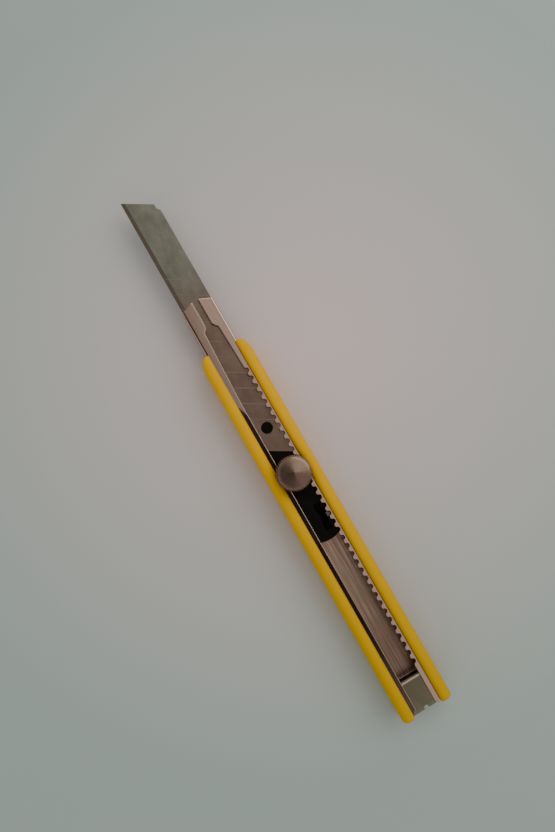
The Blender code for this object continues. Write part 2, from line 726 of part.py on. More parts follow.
def add_plug(material):
    """Moulded plug that fills the clip, flush with its front, and stops the slider."""
    inset = SNAPPER_SHEET + BODY_GAP
    top = LIP_UNDER - BODY_GAP
    floor = FLOOR_TOP + BODY_GAP
    tail = SNAPPER_END + inset
    front = SNAPPER_LEAF_FRONT
    under_leaf = top - SNAPPER_LEAF_DROP - BODY_GAP
    leaf_back = front - inset
    outline = [
        (front, floor + inset),
        (front, under_leaf),
        (leaf_back, under_leaf),
        (leaf_back, top - inset - 0.4),
        (leaf_back - 0.4, top - inset),
        (tail + 0.4, top - inset),
        (tail, top - inset - 0.4),
        (tail, floor + inset + 0.4),
        (tail + 0.4, floor + inset),
    ]
    bm = bmesh.new()
    side_prism(bm, outline, SNAPPER_WIDTH / 2)
    plug = add_piece("tail_plug", bm, material)
    width = SNAP_SLOT[1]
    slot = bmesh.new()
    plan = box_outline(tail - 1, tail + PLUG_SLOT_DEPTH, -width / 2, width / 2)
    prism(slot, plan, FLOOR_TOP + 2 * inset, top + 1)
    add_cutter("plug_slot", slot, plug)
    return plug


def build():
    """Build every piece of the knife."""
    clear_scene()
    yellow = make_material("yellow_plastic", (0.83, 0.55, 0.0), 0.0, 0.35)
    rolled = make_material("rolled_stainless", (0.62, 0.57, 0.54), 1.0, 0.2)
    blade = make_material("blade_steel", (0.38, 0.37, 0.33), 1.0, 0.35)
    black = make_material("black_plastic", (0.02, 0.02, 0.02), 0.0, 0.45)
    turned = make_material("turned_steel", (0.6, 0.57, 0.55), 1.0, 0.3)
    spring = make_material("spring_steel", (0.5, 0.5, 0.5), 1.0, 0.3)
    zinc = make_material("zinc_plate", (0.55, 0.55, 0.55), 1.0, 0.4)
    stud = make_material("stud_steel", (0.5, 0.48, 0.46), 1.0, 0.35)
    washer = make_material("washer_steel", (0.6, 0.6, 0.6), 1.0, 0.35)
    clip = make_material("clip_stainless", (0.45, 0.44, 0.4), 1.0, 0.3)
    plug = make_material("plug_plastic", (0.02, 0.02, 0.02), 0.0, 0.5)
    add_sleeve(yellow)
    add_channel(rolled)
    add_blade(blade)
    add_slider(black)
    add_click_spring(spring)
    add_clamp(zinc, stud)
    add_washer(washer)
    add_wheel(turned)
    add_snapper(clip)
    add_plug(plug)


build()
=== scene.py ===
"""Looks for the snap-off utility knife: surfaces, finishes, light and camera.

Shapes are drawn in millimetres and turned to metres when they become meshes. +X is the
blade's tip, +Z leaves the slot, and -Y is the side of the scalloped lip.
"""
import math

import bmesh
import bpy
import numpy as np
from mathutils import Matrix, Vector


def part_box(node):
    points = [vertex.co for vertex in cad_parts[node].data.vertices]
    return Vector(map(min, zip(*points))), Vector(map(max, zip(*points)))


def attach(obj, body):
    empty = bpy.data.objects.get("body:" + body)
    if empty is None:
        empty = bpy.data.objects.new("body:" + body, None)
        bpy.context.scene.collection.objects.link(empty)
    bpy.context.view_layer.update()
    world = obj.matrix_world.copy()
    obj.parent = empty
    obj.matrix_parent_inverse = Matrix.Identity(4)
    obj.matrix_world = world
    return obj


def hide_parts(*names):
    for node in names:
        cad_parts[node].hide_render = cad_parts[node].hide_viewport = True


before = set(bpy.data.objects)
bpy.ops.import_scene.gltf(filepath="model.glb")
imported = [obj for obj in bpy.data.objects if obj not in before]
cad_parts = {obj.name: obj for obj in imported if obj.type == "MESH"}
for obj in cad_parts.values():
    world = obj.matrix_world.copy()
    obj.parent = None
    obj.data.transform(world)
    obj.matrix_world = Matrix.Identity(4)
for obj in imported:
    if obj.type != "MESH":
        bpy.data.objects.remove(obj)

MM = 0.001
LOW, HIGH = 0, 1
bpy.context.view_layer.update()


def cad_edge(node, side, axis):
    """Where a CAD node's LOW or HIGH end lies along an axis, in millimetres."""
    return getattr(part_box(node)[side], axis) / MM


# Folded channel: its section, and where its lips end
SHEET = 0.35
CHANNEL_HALF = cad_edge("blade_channel", HIGH, "y")
CHANNEL_BOTTOM = cad_edge("blade_channel", LOW, "z")
CHANNEL_TAIL = cad_edge("blade_channel", LOW, "x")
LIP_FRONT = cad_edge("blade_channel", HIGH, "x")
CHANNEL_FRONT = LIP_FRONT - 1.4
LIP_TOP = CHANNEL_BOTTOM + 4.9
LIP_BEND = 0.55
FLOOR_BEND = 0.9
LIP_ROOT = CHANNEL_HALF - LIP_BEND
LIP_EDGE_RADIUS = 0.07
LIP_RISE = 0.06
LIP_RISE_FRONT = 0.006

# The slot between the lips, from the narrow throat at the front to the tail
THROAT_END = CHANNEL_FRONT - 6.7
THROAT_CHAMFER_END = THROAT_END - 1.5
THROAT_RACK_EDGE = 0.95
THROAT_PLAIN_EDGE = 0.85
SLOT_RACK_EDGE = 2.3
SLOT_PLAIN_EDGE = 2.0
SLOT_PLAIN_EDGE_REAR = 2.85
SLOT_PLAIN_TAPER_END = CHANNEL_FRONT - 30
RACK_CORNER = 0.12
PLAIN_CORNER = 0.5
RACK_TAIL_CHAMFER = 0.85
PLAIN_TAIL_CHAMFER = 1.7

# Rack
CLIP_FRONT = cad_edge("snapper_clip", HIGH, "x")
RACK_PITCH = 2.5
RACK_FIRST = CHANNEL_FRONT - 22.7
RACK_COUNT = int((RACK_FIRST - CLIP_FRONT) / RACK_PITCH)
RACK_TIP = 2.7
RACK_FLANK = 1.09
NOTCH_RADIUS = 0.72
NOTCH_CENTRE = 2.94

# Sleeve; a taper is its length and how far the sides and the rails' crowns draw in
SLEEVE_HALF = cad_edge("handle_sleeve", HIGH, "y")
SLEEVE_HALF_LENGTH = cad_edge("handle_sleeve", HIGH, "x")
SLEEVE_HEIGHT = cad_edge("handle_sleeve", HIGH, "z")
SLEEVE_GAP = 0.1
SLEEVE_BACK = CHANNEL_BOTTOM - SLEEVE_GAP
SLEEVE_CAVITY = CHANNEL_HALF + SLEEVE_GAP
SLEEVE_LEDGE = LIP_TOP + SLEEVE_GAP
SLEEVE_OPENING = SLEEVE_CAVITY - 0.81
BACK_RADIUS = 1.7
RAIL_OUTER_RADIUS = 1.9
RAIL_INNER_RADIUS = 1.1
LEDGE_RADIUS = 0.15
CAVITY_RADIUS = 0.4
TAIL_TAPER = (0.7, 0.5, 0.45)
FRONT_TAPER = (4.6, 2.0, 0.9)

# Blade's score lines: slanted phase in pitches is step . place + shift, whole on a line
SCORE_PITCH = 5.0
BLADE_TIP = cad_edge("snap_off_blade", HIGH, "x")
BLADE_HALF = cad_edge("snap_off_blade", HIGH, "y")
BEVEL_START = BLADE_HALF - 1.1
BLADE_SLANT = math.tan(math.radians(60))
SCORE_STEP = (1 / SCORE_PITCH / MM, -1 / BLADE_SLANT / SCORE_PITCH / MM, 0)
SCORE_SHIFT = (BLADE_HALF / BLADE_SLANT - BLADE_TIP) / SCORE_PITCH + 100

# Wheel
WHEEL_X = (cad_edge("thumb_wheel", LOW, "x") + cad_edge("thumb_wheel", HIGH, "x")) / 2
WHEEL_BOTTOM = cad_edge("thumb_wheel", LOW, "z")
WHEEL_TOP = cad_edge("thumb_wheel", HIGH, "z")
WHEEL_CONE_RISE = 0.9
WHEEL_RIM_HEIGHT = 2.9
RING_PITCH = 0.15
KNURL_TEETH = 48
KNURL_DEPTH = 0.4
POINTS_PER_TOOTH = 8

# Rounding of the edges of copied nodes
SLIDER_EDGE = 0.12
CLIP_EDGE = 0.06
PLUG_EDGE = 0.1


# ---------------------------------------------------------------- meshes


def rounded(corners, steps):
    """Closed outline whose (a, b, radius) corners become arcs.

    Each arc is centre + radius * (cos t, sin t), with t running evenly between the two
    points where the circle touches the sides.
    """
    spots = np.array([corner[:2] for corner in corners], float)
    out = []
    for index, (a, b, radius) in enumerate(corners):
        here = spots[index]
        back = spots[index - 1] - here
        ahead = spots[(index + 1) % len(spots)] - here
        back /= np.linalg.norm(back)
        ahead /= np.linalg.norm(ahead)
        half = math.acos(float(np.clip(back @ ahead, -1, 1))) / 2
        if radius == 0:
            out.append(here[None])
            continue
        middle = (back + ahead) / np.linalg.norm(back + ahead)
        centre = here + middle * radius / math.sin(half)
        start = here + back * radius / math.tan(half) - centre
        end = here + ahead * radius / math.tan(half) - centre
        share = np.linspace(0, 1, steps)[:, None]
        spread = math.pi - 2 * half
        arc = np.sin((1 - share) * spread) * start + np.sin(share * spread) * end
        out.append(centre + arc / math.sin(spread))
    return np.concatenate(out)


def add_surface(name, grid, around=True, capped=True, sharp=40.0):
    """Make a mesh of a (rows, columns, 3) grid in millimetres.

    Point (i, j) joins (i + 1, j) and (i, j + 1); around closes each row on itself and
    capped closes the first and last rows with flat faces.
    """
    rows, columns = grid.shape[:2]
    spans = columns if around else columns - 1
    i, j = np.meshgrid(np.arange(rows - 1), np.arange(spans), indexing="ij")
    near, far = i * columns + j, i * columns + (j + 1) % columns
    quads = np.stack([near, far, far + columns, near + columns], axis=-1).reshape(-1, 4)
    faces = quads.tolist()
    if capped:
        faces.append(list(range(columns)))
        faces.append(list(range((rows - 1) * columns, rows * columns)))
    mesh = bpy.data.meshes.new(name)
    mesh.from_pydata((grid.reshape(-1, 3) * MM).tolist(), [], faces)
    return finish_mesh(name, mesh, sharp)


def finish_mesh(name, mesh, sharp):
    """Merge doubled points, face everything outwards and shade smooth below an angle."""
    bm = bmesh.new()
    bm.from_mesh(mesh)
    bmesh.ops.remove_doubles(bm, verts=bm.verts, dist=0.0001 * MM)
    bmesh.ops.recalc_face_normals(bm, faces=bm.faces)
    bm.to_mesh(mesh)
    bm.free()
    mesh.shade_smooth()
    mesh.set_sharp_from_angle(angle=math.radians(sharp))
    piece = bpy.data.objects.new(name, mesh)
    bpy.context.scene.collection.objects.link(piece)
    return piece


def soften_copy(node, name, width):
    """Copy a CAD node's mesh, merge it and round its edges by a width in millimetres."""
    bm = bmesh.new()
    bm.from_mesh(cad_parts[node].data)
    bmesh.ops.remove_doubles(bm, verts=bm.verts, dist=0.002 * MM)
    flat = math.radians(1)
    bmesh.ops.dissolve_limit(bm, angle_limit=flat, verts=bm.verts, edges=bm.edges)
    mesh = bpy.data.meshes.new(name)
    bm.to_mesh(mesh)
    bm.free()
    mesh.materials.clear()
    piece = finish_mesh(name, mesh, 30)
    bevel = piece.modifiers.new("softened edges", "BEVEL")
    bevel.width = width * MM
    bevel.segments = 2
    bevel.limit_method = "ANGLE"
    bevel.angle_limit = math.radians(35)
    bevel.harden_normals = True
    return piece


def install(piece, body, slot, finish, *nodes):
    """Let a new piece stand for CAD nodes and ride on their body."""
    piece.data.materials.append(finish)
    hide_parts(*nodes)
    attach(piece, body)


def paint(node, finish):
    """Give a CAD node that stays in view its finish."""
    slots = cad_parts[node].data.materials
    slots.clear()
    slots.append(finish)


# ---------------------------------------------------------------- shapes


def quarter_round(share):
    """1 at a rounded end's face, 0 where it runs out: 1 - sqrt(1 - (1 - share)^2)."""
    return 1 - np.sqrt(np.clip(1 - (1 - share) ** 2, 0, 1))


def sleeve_surface():
    """C-shaped section carried along X, drawn in at both ends.

    The side walls move in by their taper * quarter_round and the rails' crowns sink by
    theirs, both in proportion to how far out or up a point lies. Rows crowd towards the
    end faces, where the rounding is steepest.
    """
    right = [
        (SLEEVE_HALF, 0, BACK_RADIUS),
        (SLEEVE_HALF, SLEEVE_HEIGHT, RAIL_OUTER_RADIUS),
        (SLEEVE_OPENING, SLEEVE_HEIGHT, RAIL_INNER_RADIUS),
        (SLEEVE_OPENING, SLEEVE_LEDGE, LEDGE_RADIUS),
        (SLEEVE_CAVITY, SLEEVE_LEDGE, 0),
        (SLEEVE_CAVITY, SLEEVE_BACK, CAVITY_RADIUS),
    ]
    left = [(-y, z, radius) for y, z, radius in reversed(right)]
    section = rounded(right + left, 14)
    y, z = section[:, 0], section[:, 1]
    tail = np.linspace(0, 1, 10) ** 1.5
    front = np.linspace(1, 0, 22) ** 1.7
    x = np.concatenate(
        [TAIL_TAPER[0] * tail - SLEEVE_HALF_LENGTH, SLEEVE_HALF_LENGTH - FRONT_TAPER[0] * front]
    )
    tail_round, front_round = quarter_round(tail), quarter_round(front)
    taper = np.concatenate([TAIL_TAPER[1] * tail_round, FRONT_TAPER[1] * front_round])
    drop = np.concatenate([TAIL_TAPER[2] * tail_round, FRONT_TAPER[2] * front_round])
    out = np.clip((np.abs(y) - SLEEVE_CAVITY) / (SLEEVE_HALF - SLEEVE_CAVITY), 0, 1)
    up = np.clip((z - SLEEVE_LEDGE) / (SLEEVE_HEIGHT - SLEEVE_LEDGE), 0, 1)
    grid = np.empty((len(x), len(y), 3))
    grid[..., 0] = x[:, None]
    grid[..., 1] = y - np.sign(y) * taper[:, None] * out
    grid[..., 2] = z - drop[:, None] * up
    return add_surface("sleeve_shell", grid, sharp=50)


def rack_edge():
    """Plan (x, reach from the middle) of the scalloped lip's free edge.

    Each scallop is reach = centre + radius * sin t at x = middle + radius * cos t, with
    straight flanks down to the blunt tips half a pitch away.
    """
    t = np.linspace(math.pi, 0, 13)
    offset = np.concatenate([[-RACK_FLANK], NOTCH_RADIUS * np.cos(t), [RACK_FLANK]])
    reach = NOTCH_CENTRE + NOTCH_RADIUS * np.sin(t)
    reach = np.concatenate([[RACK_TIP], reach, [RACK_TIP]])
    middles = RACK_FIRST - RACK_PITCH * np.arange(RACK_COUNT)[::-1]
    x = (middles[:, None] + offset).ravel()
    y = np.tile(reach, RACK_COUNT)
    tail_x = [CHANNEL_TAIL, CHANNEL_TAIL + RACK_TAIL_CHAMFER]
    tail_y = [RACK_TIP + RACK_TAIL_CHAMFER, RACK_TIP]
    throat_x = [THROAT_CHAMFER_END, THROAT_END, LIP_FRONT]
    throat_y = [SLOT_RACK_EDGE, THROAT_RACK_EDGE, THROAT_RACK_EDGE]
    return np.concatenate([tail_x, x, throat_x]), np.concatenate([tail_y, y, throat_y])


def plain_edge():
    """Plan (x, reach from the middle) of the straight lip's free edge."""
    edge = [
        (CHANNEL_TAIL, LIP_ROOT),
        (CHANNEL_TAIL + PLAIN_TAIL_CHAMFER, SLOT_PLAIN_EDGE_REAR),
        (SLOT_PLAIN_TAPER_END, SLOT_PLAIN_EDGE_REAR),
        (THROAT_CHAMFER_END, SLOT_PLAIN_EDGE),
        (THROAT_END, THROAT_PLAIN_EDGE),
        (LIP_FRONT, THROAT_PLAIN_EDGE),
    ]
    return np.array(edge).T


def lip_front(reach, edge, corner):
    """Where a lip's slanted front lies: a straight line from the bend to its corner, which
    is an arc that falls back by corner * (1 - sqrt(1 - inside^2))."""
    share = np.clip((LIP_ROOT - reach) / (LIP_ROOT - edge), 0, 1)
    line = CHANNEL_FRONT + (LIP_FRONT - CHANNEL_FRONT) * share
    inside = np.clip((edge + corner - reach) / corner, 0, 1)
    return line - corner * (1 - np.sqrt(1 - inside**2))


def arc_points(centre_y, centre_z, radius, first, last, steps):
    """Points and outward normals of an arc in the section plane."""
    t = np.radians(np.linspace(first, last, steps))
    normal = np.stack([np.cos(t), np.sin(t)], axis=-1)
    return np.array([centre_y, centre_z]) + radius * normal, normal


def channel_skin():
    """Fixed part of the channel's outer section between the two lip roots."""
    side = CHANNEL_HALF - FLOOR_BEND
    low = CHANNEL_BOTTOM + FLOOR_BEND
    high = LIP_TOP - LIP_BEND
    runs = [
        arc_points(-LIP_ROOT, high, LIP_BEND, 90, 180, 9),
        arc_points(-side, low, FLOOR_BEND, 180, 270, 9),
        arc_points(side, low, FLOOR_BEND, 270, 360, 9),
        arc_points(LIP_ROOT, high, LIP_BEND, 0, 90, 9),
    ]
    points = np.concatenate([run[0] for run in runs])
    normals = np.concatenate([run[1] for run in runs])
    return points, normals


def lip_slope(x, share, side):
    """How fast a lip rises towards the slot, x along the knife and share 0 at its root.

    The scalloped lip rises steadily. The plain one hardly rises near the front, and the
    change runs slantwise from its root back to its free edge, 4 mm further on: it is
    front rise + (rise - front rise) * smoothstep of the way through a 1.5 mm band.
    """
    if side < 0:
        return np.full(np.broadcast(x, share).shape, LIP_RISE)
    change_at_root, slant, band = SLOT_PLAIN_TAPER_END + 0.85, 4, 1.5
    turned = np.clip((change_at_root - slant * share - x) / band, 0, 1)
    return LIP_RISE_FRONT + (LIP_RISE - LIP_RISE_FRONT) * turned**2 * (3 - 2 * turned)


def lip_run(x, edge, side, top):
    """Points of one lip's skin from its free edge to its root, with a rounded edge.

    Height is the sum of slope * step across the lip, taken from the root, and at the
    free edge the skin drops away as a quarter circle. At the tail the plain lip has
    shrunk to nothing, so its width is held just above zero there.
    """
    turn = np.radians([0, 30, 60, 90])
    share = np.linspace(0, 1, 9)[1:-1]
    start = edge[:, None] + LIP_EDGE_RADIUS
    before_root = LIP_ROOT - 0.05
    reach = np.concatenate(
        [start - LIP_EDGE_RADIUS * np.cos(turn), start + (before_root - start) * share], axis=1
    )
    least_width = 0.001
    width = np.maximum(LIP_ROOT - edge[:, None], least_width)
    out = np.clip((LIP_ROOT - reach) / width, 0, 1)
    slope = lip_slope(x[:, None], out, side)
    step = -np.diff(reach, axis=1, append=LIP_ROOT)
    rise = np.cumsum((-slope * step)[:, ::-1], axis=1)[:, ::-1]
    drop = np.concatenate([LIP_EDGE_RADIUS * (1 - np.sin(turn)), np.zeros(len(share))])
    height = LIP_TOP + rise - drop if top else LIP_TOP - SHEET + rise + drop
    return np.stack([side * reach, height], axis=-1)


def channel_surface():
    """Folded sheet: a closed section of outer and inner skin carried along X.

    The section's lips reach as far as rack_edge and plain_edge say at that x, and past
    the throat's end every line is stretched so that it ends on the slanted fronts.
    """
    rack_x, rack_y = rack_edge()
    plain_x, plain_y = plain_edge()
    end_rows = [CHANNEL_TAIL + 0.05, CHANNEL_TAIL + 0.1, LIP_FRONT - 0.1, LIP_FRONT - 0.04]
    throat_rows = np.linspace(THROAT_END + 0.55, LIP_FRONT - 0.35, 8)
    x = np.unique(np.concatenate([rack_x, plain_x, end_rows, throat_rows]))
    rack = np.interp(x, rack_x, rack_y)
    plain = np.interp(x, plain_x, plain_y)
    points, normals = channel_skin()
    count = len(x)
    outer = np.broadcast_to(points, (count, *points.shape))
    inner = np.broadcast_to(points - SHEET * normals, (count, *points.shape))
    loop = np.concatenate(
        [
            lip_run(x, rack, -1, True),
            outer,
            lip_run(x, plain, 1, True)[:, ::-1],
            lip_run(x, plain, 1, False),
            inner[:, ::-1],
            lip_run(x, rack, -1, False)[:, ::-1],
        ],
        axis=1,
    )
    reach = np.abs(loop[..., 0])
    below_lips = LIP_TOP - SHEET - 0.25
    on_lip = (loop[..., 1] > below_lips) & (reach < LIP_ROOT)
    rack_front = lip_front(reach, THROAT_RACK_EDGE, RACK_CORNER)
    plain_front = lip_front(reach, THROAT_PLAIN_EDGE, PLAIN_CORNER)
    front = np.where(loop[..., 0] < 0, rack_front, plain_front)
    front = np.where(on_lip, front, CHANNEL_FRONT)
    grid = np.empty((count, loop.shape[1], 3))
    share = np.clip((x - THROAT_END) / (LIP_FRONT - THROAT_END), 0, 1)[:, None]
    grid[..., 0] = np.where(share > 0, THROAT_END + (front - THROAT_END) * share, x[:, None])
    grid[..., 1:] = loop
    thin_ends(grid)
    return add_surface("channel_sheet", grid, sharp=35)


def thin_ends(grid):
    """Round the sheet's cut ends: each skin moves a share of the way to the sheet's
    middle, 0.4 of it in the end rows and 0.12 in the rows next to them."""
    half = grid.shape[1] // 2
    for row, share in ((0, 0.4), (1, 0.12), (-1, 0.4), (-2, 0.12)):
        outer, inner = grid[row, :half], grid[row, half:][::-1]
        middle = (outer + inner) / 2
        outer += (middle - outer) * share
        inner += (middle - inner) * share


def wheel_surface():
    """Turned wheel: a profile of (radius, height, share of the knurl) rows, revolved.

    It runs from the bore by the hub, the rim and a fine groove at the rim's top to the
    cone's blunt middle. At the rim the radius drops by depth * (1 - cos(teeth * angle))
    / 2, so crests and valleys are equally wide.
    """
    high = WHEEL_TOP - WHEEL_CONE_RISE
    low = high - WHEEL_RIM_HEIGHT
    bore, hub, rim = 1.5, 3.45, 5.0
    profile = np.array(
        [
            (bore, high - 0.8, 0), (bore, WHEEL_BOTTOM, 0), (hub - 0.1, WHEEL_BOTTOM, 0),
            (hub, WHEEL_BOTTOM + 0.1, 0), (hub, low, 0), (rim - 0.55, low, 0),
            (rim - 0.38, low + 0.06, 0.3), (rim - 0.1, low + 0.3, 1), (rim, low + 0.45, 1),
            (rim, high - 1.8, 1), (rim, high - 0.42, 1), (rim - 0.1, high - 0.2, 1),
            (rim - 0.28, high - 0.05, 0.45), (rim - 0.45, high, 0),
            (rim - 0.58, high + 0.01, 0), (rim - 0.64, high - 0.03, 0),
            (rim - 0.72, high + 0.03, 0), (3.5, high + 0.2, 0), (2.6, high + 0.4, 0),
            (1.7, high + 0.6, 0), (0.9, high + 0.77, 0), (0.35, high + 0.87, 0),
            (0.12, WHEEL_TOP, 0), (0.004, WHEEL_TOP, 0),
        ]
    )
    angle = np.linspace(0, 2 * math.pi, KNURL_TEETH * POINTS_PER_TOOTH, endpoint=False)
    knurl = KNURL_DEPTH / 2 * (1 - np.cos(KNURL_TEETH * angle))
    radius = profile[:, :1] - profile[:, 2:] * knurl
    grid = np.empty((len(profile), len(angle), 3))
    grid[..., 0] = WHEEL_X + radius * np.cos(angle)
    grid[..., 1] = radius * np.sin(angle)
    grid[..., 2] = profile[:, 1:2]
    return add_surface("knurled_wheel", grid, sharp=28)


# ---------------------------------------------------------------- finishes


def per_metre(*lengths):
    """Scale of a pattern along each axis, from the lengths of its repeats in millimetres."""
    return tuple(1 / (MM * length) for length in lengths)


def linear(code):
    """Turn an sRGB hex colour into linear RGBA."""
    share = np.array([int(code[i : i + 2], 16) / 255 for i in (0, 2, 4)])
    curve = np.where(share <= 0.04045, share / 12.92, ((share + 0.055) / 1.055) ** 2.4)
    return (*curve.tolist(), 1.0)


def add_node(tree, kind, inputs=None, **settings):
    """Add one node: settings are its properties, inputs its sockets' values or links.

    Sockets go by name or number. A Map Range takes 0 as value, 1 to 2 as the stretch it
    is read over and 3 to 4 as the results at its ends. A Mix of colours takes 0 as share,
    6 and 7 as colours and gives output 2. MULTIPLY_ADD is 0 times 1, plus 2.
    """
    made = tree.nodes.new("ShaderNode" + kind)
    for name, value in settings.items():
        setattr(made, name, value)
    for socket, value in (inputs or {}).items():
        if isinstance(value, bpy.types.NodeSocket):
            tree.links.new(value, made.inputs[socket])
        else:
            made.inputs[socket].default_value = value
    return made


def start_finish(name, **constants):
    """New material: returns it, its tree, its Principled shader and Object coordinates."""
    made = bpy.data.materials.new(name)
    made.use_nodes = True
    tree = made.node_tree
    shader = tree.nodes["Principled BSDF"]
    for socket, value in constants.items():
        shader.inputs[socket.replace("_", " ")].default_value = value
    place = add_node(tree, "TexCoord").outputs["Object"]
    return made, tree, shader, place


def wire(tree, shader, colour=None, roughness=None, bump=None):
    """Join finished colour, roughness and bump outputs to a shader."""
    for socket, output in (("Base Color", colour), ("Roughness", roughness), ("Normal", bump)):
        if output is not None:
            tree.links.new(output, shader.inputs[socket])


def moulded_yellow_abs():
    """ABS, injection moulded: a satin skin with faint flow clouds 11 mm across, orange
    peel 0.4 mm across, and hairline scuffs along the grip that catch the light. The
    yellow is painted darker from the front third to the tail: painted shade where the light falls off."""
    made, tree, shader, place = start_finish(
        "moulded_yellow_abs", IOR=1.53, Specular_IOR_Level=0.05
    )
    size = per_metre(1, 1, 1)
    grain = add_node(tree, "Mapping", {"Vector": place, "Scale": size}).outputs[0]
    size = per_metre(16.67, 0.3846, 0.3846)
    along = add_node(tree, "Mapping", {"Vector": place, "Scale": size}).outputs[0]
    clouds = add_node(tree, "TexNoise", {"Vector": grain, "Scale": 1 / 11.1, "Detail": 3.0})
    peel = add_node(tree, "TexNoise", {"Vector": grain, "Scale": 1 / 0.4167, "Detail": 2.0})
    scuffs = add_node(tree, "TexNoise", {"Vector": along, "Scale": 1.0, "Detail": 4.0})
    tone = add_node(
        tree, "Mix", {0: clouds.outputs[0], 6: linear("E8A900"), 7: linear("F0B300")}, data_type="RGBA"
    )
    lines = add_node(tree, "MapRange", {0: scuffs.outputs[0], 1: 0.56, 2: 0.72, 3: 0.0, 4: 1.0})
    pale = add_node(
        tree, "Mix", {0: lines.outputs[0], 6: tone.outputs[2], 7: linear("F2B904")}, data_type="RGBA"
    )
    split = add_node(tree, "SeparateXYZ", {"Vector": place})
    # Painted shade: darker yellow from x 30 mm back to the tail, where the light falls off.
    tail_shade = add_node(tree, "MapRange", {0: split.outputs[0], 1: 30 * MM, 2: -55 * MM, 3: 0.0, 4: 1.0})
    held = add_node(
        tree, "Mix", {0: tail_shade.outputs[0], 6: pale.outputs[2], 7: linear("CE9F00")}, data_type="RGBA"
    )
    gloss = add_node(tree, "MapRange", {0: clouds.outputs[0], 1: 0.3, 2: 0.7, 3: 0.42, 4: 0.52})
    rough = add_node(
        tree, "Math", {0: lines.outputs[0], 1: 0.12, 2: gloss.outputs[0]}, operation="MULTIPLY_ADD"
    )
    bump = add_node(tree, "Bump", {"Height": peel.outputs[0], "Strength": 0.25, "Distance": 0.04 * MM})
    cut = {"Height": lines.outputs[0], "Strength": 0.3, "Distance": 0.01 * MM}
    scratch = add_node(tree, "Bump", {**cut, "Normal": bump.outputs[0]}, invert=True)
    wire(tree, shader, held.outputs[2], rough.outputs[0], scratch.outputs[0])
    return made


def bright_rolled_stainless():
    """Stainless strip, cold rolled bright: the lips are nearly a mirror with finger marks
    some 8 mm across. The floor is duller, with roll lines 0.3 mm apart that the slider
    has rubbed to light and dark streaks, under a film of grease in the same marks, and
    painted darker and browner towards the tail: painted shade where the light falls off."""
    made, tree, shader, place = start_finish("bright_rolled_stainless", Metallic=1.0)
    size = per_metre(16.67, 0.2778, 0.2778)
    along = add_node(tree, "Mapping", {"Vector": place, "Scale": size}).outputs[0]
    size = per_metre(8.333, 6.25, 6.25)
    wide = add_node(tree, "Mapping", {"Vector": place, "Scale": size}).outputs[0]
    lines = add_node(tree, "TexNoise", {"Vector": along, "Scale": 1.0, "Detail": 5.0})
    marks = add_node(tree, "TexNoise", {"Vector": wide, "Scale": 1.0, "Detail": 3.0})
    split = add_node(tree, "SeparateXYZ", {"Vector": place})
    deep = add_node(tree, "MapRange", {0: split.outputs[2], 1: 3 * MM, 2: 6 * MM, 3: 1.0, 4: 0.0})
    tone = add_node(
        tree, "Mix", {0: lines.outputs[0], 6: linear("AE9789"), 7: linear("CCB8AC")}, data_type="RGBA"
    )
    strong = add_node(tree, "MapRange", {0: lines.outputs[0], 1: 0.38, 2: 0.62, 3: 0.0, 4: 1.0})
    worn = add_node(
        tree, "Mix", {0: strong.outputs[0], 6: linear("967B6B"), 7: linear("D8BFB0")}, data_type="RGBA"
    )
    film = add_node(tree, "MapRange", {0: marks.outputs[0], 1: 0.35, 2: 0.65, 3: 0.0, 4: 0.6})
    filmed = add_node(
        tree, "Mix", {0: film.outputs[0], 6: worn.outputs[2], 7: linear("A59A82")}, data_type="RGBA"
    )
    # Painted shade: the floor darkens and browns towards the tail, where the light falls off.
    tail = add_node(tree, "MapRange", {0: split.outputs[0], 1: -20 * MM, 2: -36 * MM, 3: 0.0, 4: 0.4})
    tail_shaded = add_node(
        tree, "Mix", {0: tail.outputs[0], 6: filmed.outputs[2], 7: linear("6A5446")}, data_type="RGBA"
    )
    shade = add_node(
        tree, "Mix", {0: deep.outputs[0], 6: tone.outputs[2], 7: tail_shaded.outputs[2]}, data_type="RGBA"
    )
    drawn = add_node(tree, "MapRange", {0: lines.outputs[0], 1: 0.35, 2: 0.65, 3: 0.06, 4: 0.1})
    dulled = add_node(
        tree, "Math", {0: marks.outputs[0], 1: 0.08, 2: drawn.outputs[0]}, operation="MULTIPLY_ADD"
    )
    rough = add_node(
        tree, "Math", {0: deep.outputs[0], 1: 0.24, 2: dulled.outputs[0]}, operation="MULTIPLY_ADD"
    )
    gain = add_node(
        tree, "Math", {0: deep.outputs[0], 1: 0.015 * MM, 2: 0.002 * MM}, operation="MULTIPLY_ADD"
    )
    bump = add_node(
        tree, "Bump", {"Height": lines.outputs[0], "Strength": 0.6, "Distance": gain.outputs[0]}
    )
    wire(tree, shader, shade.outputs[2], rough.outputs[0], bump.outputs[0])
    return made


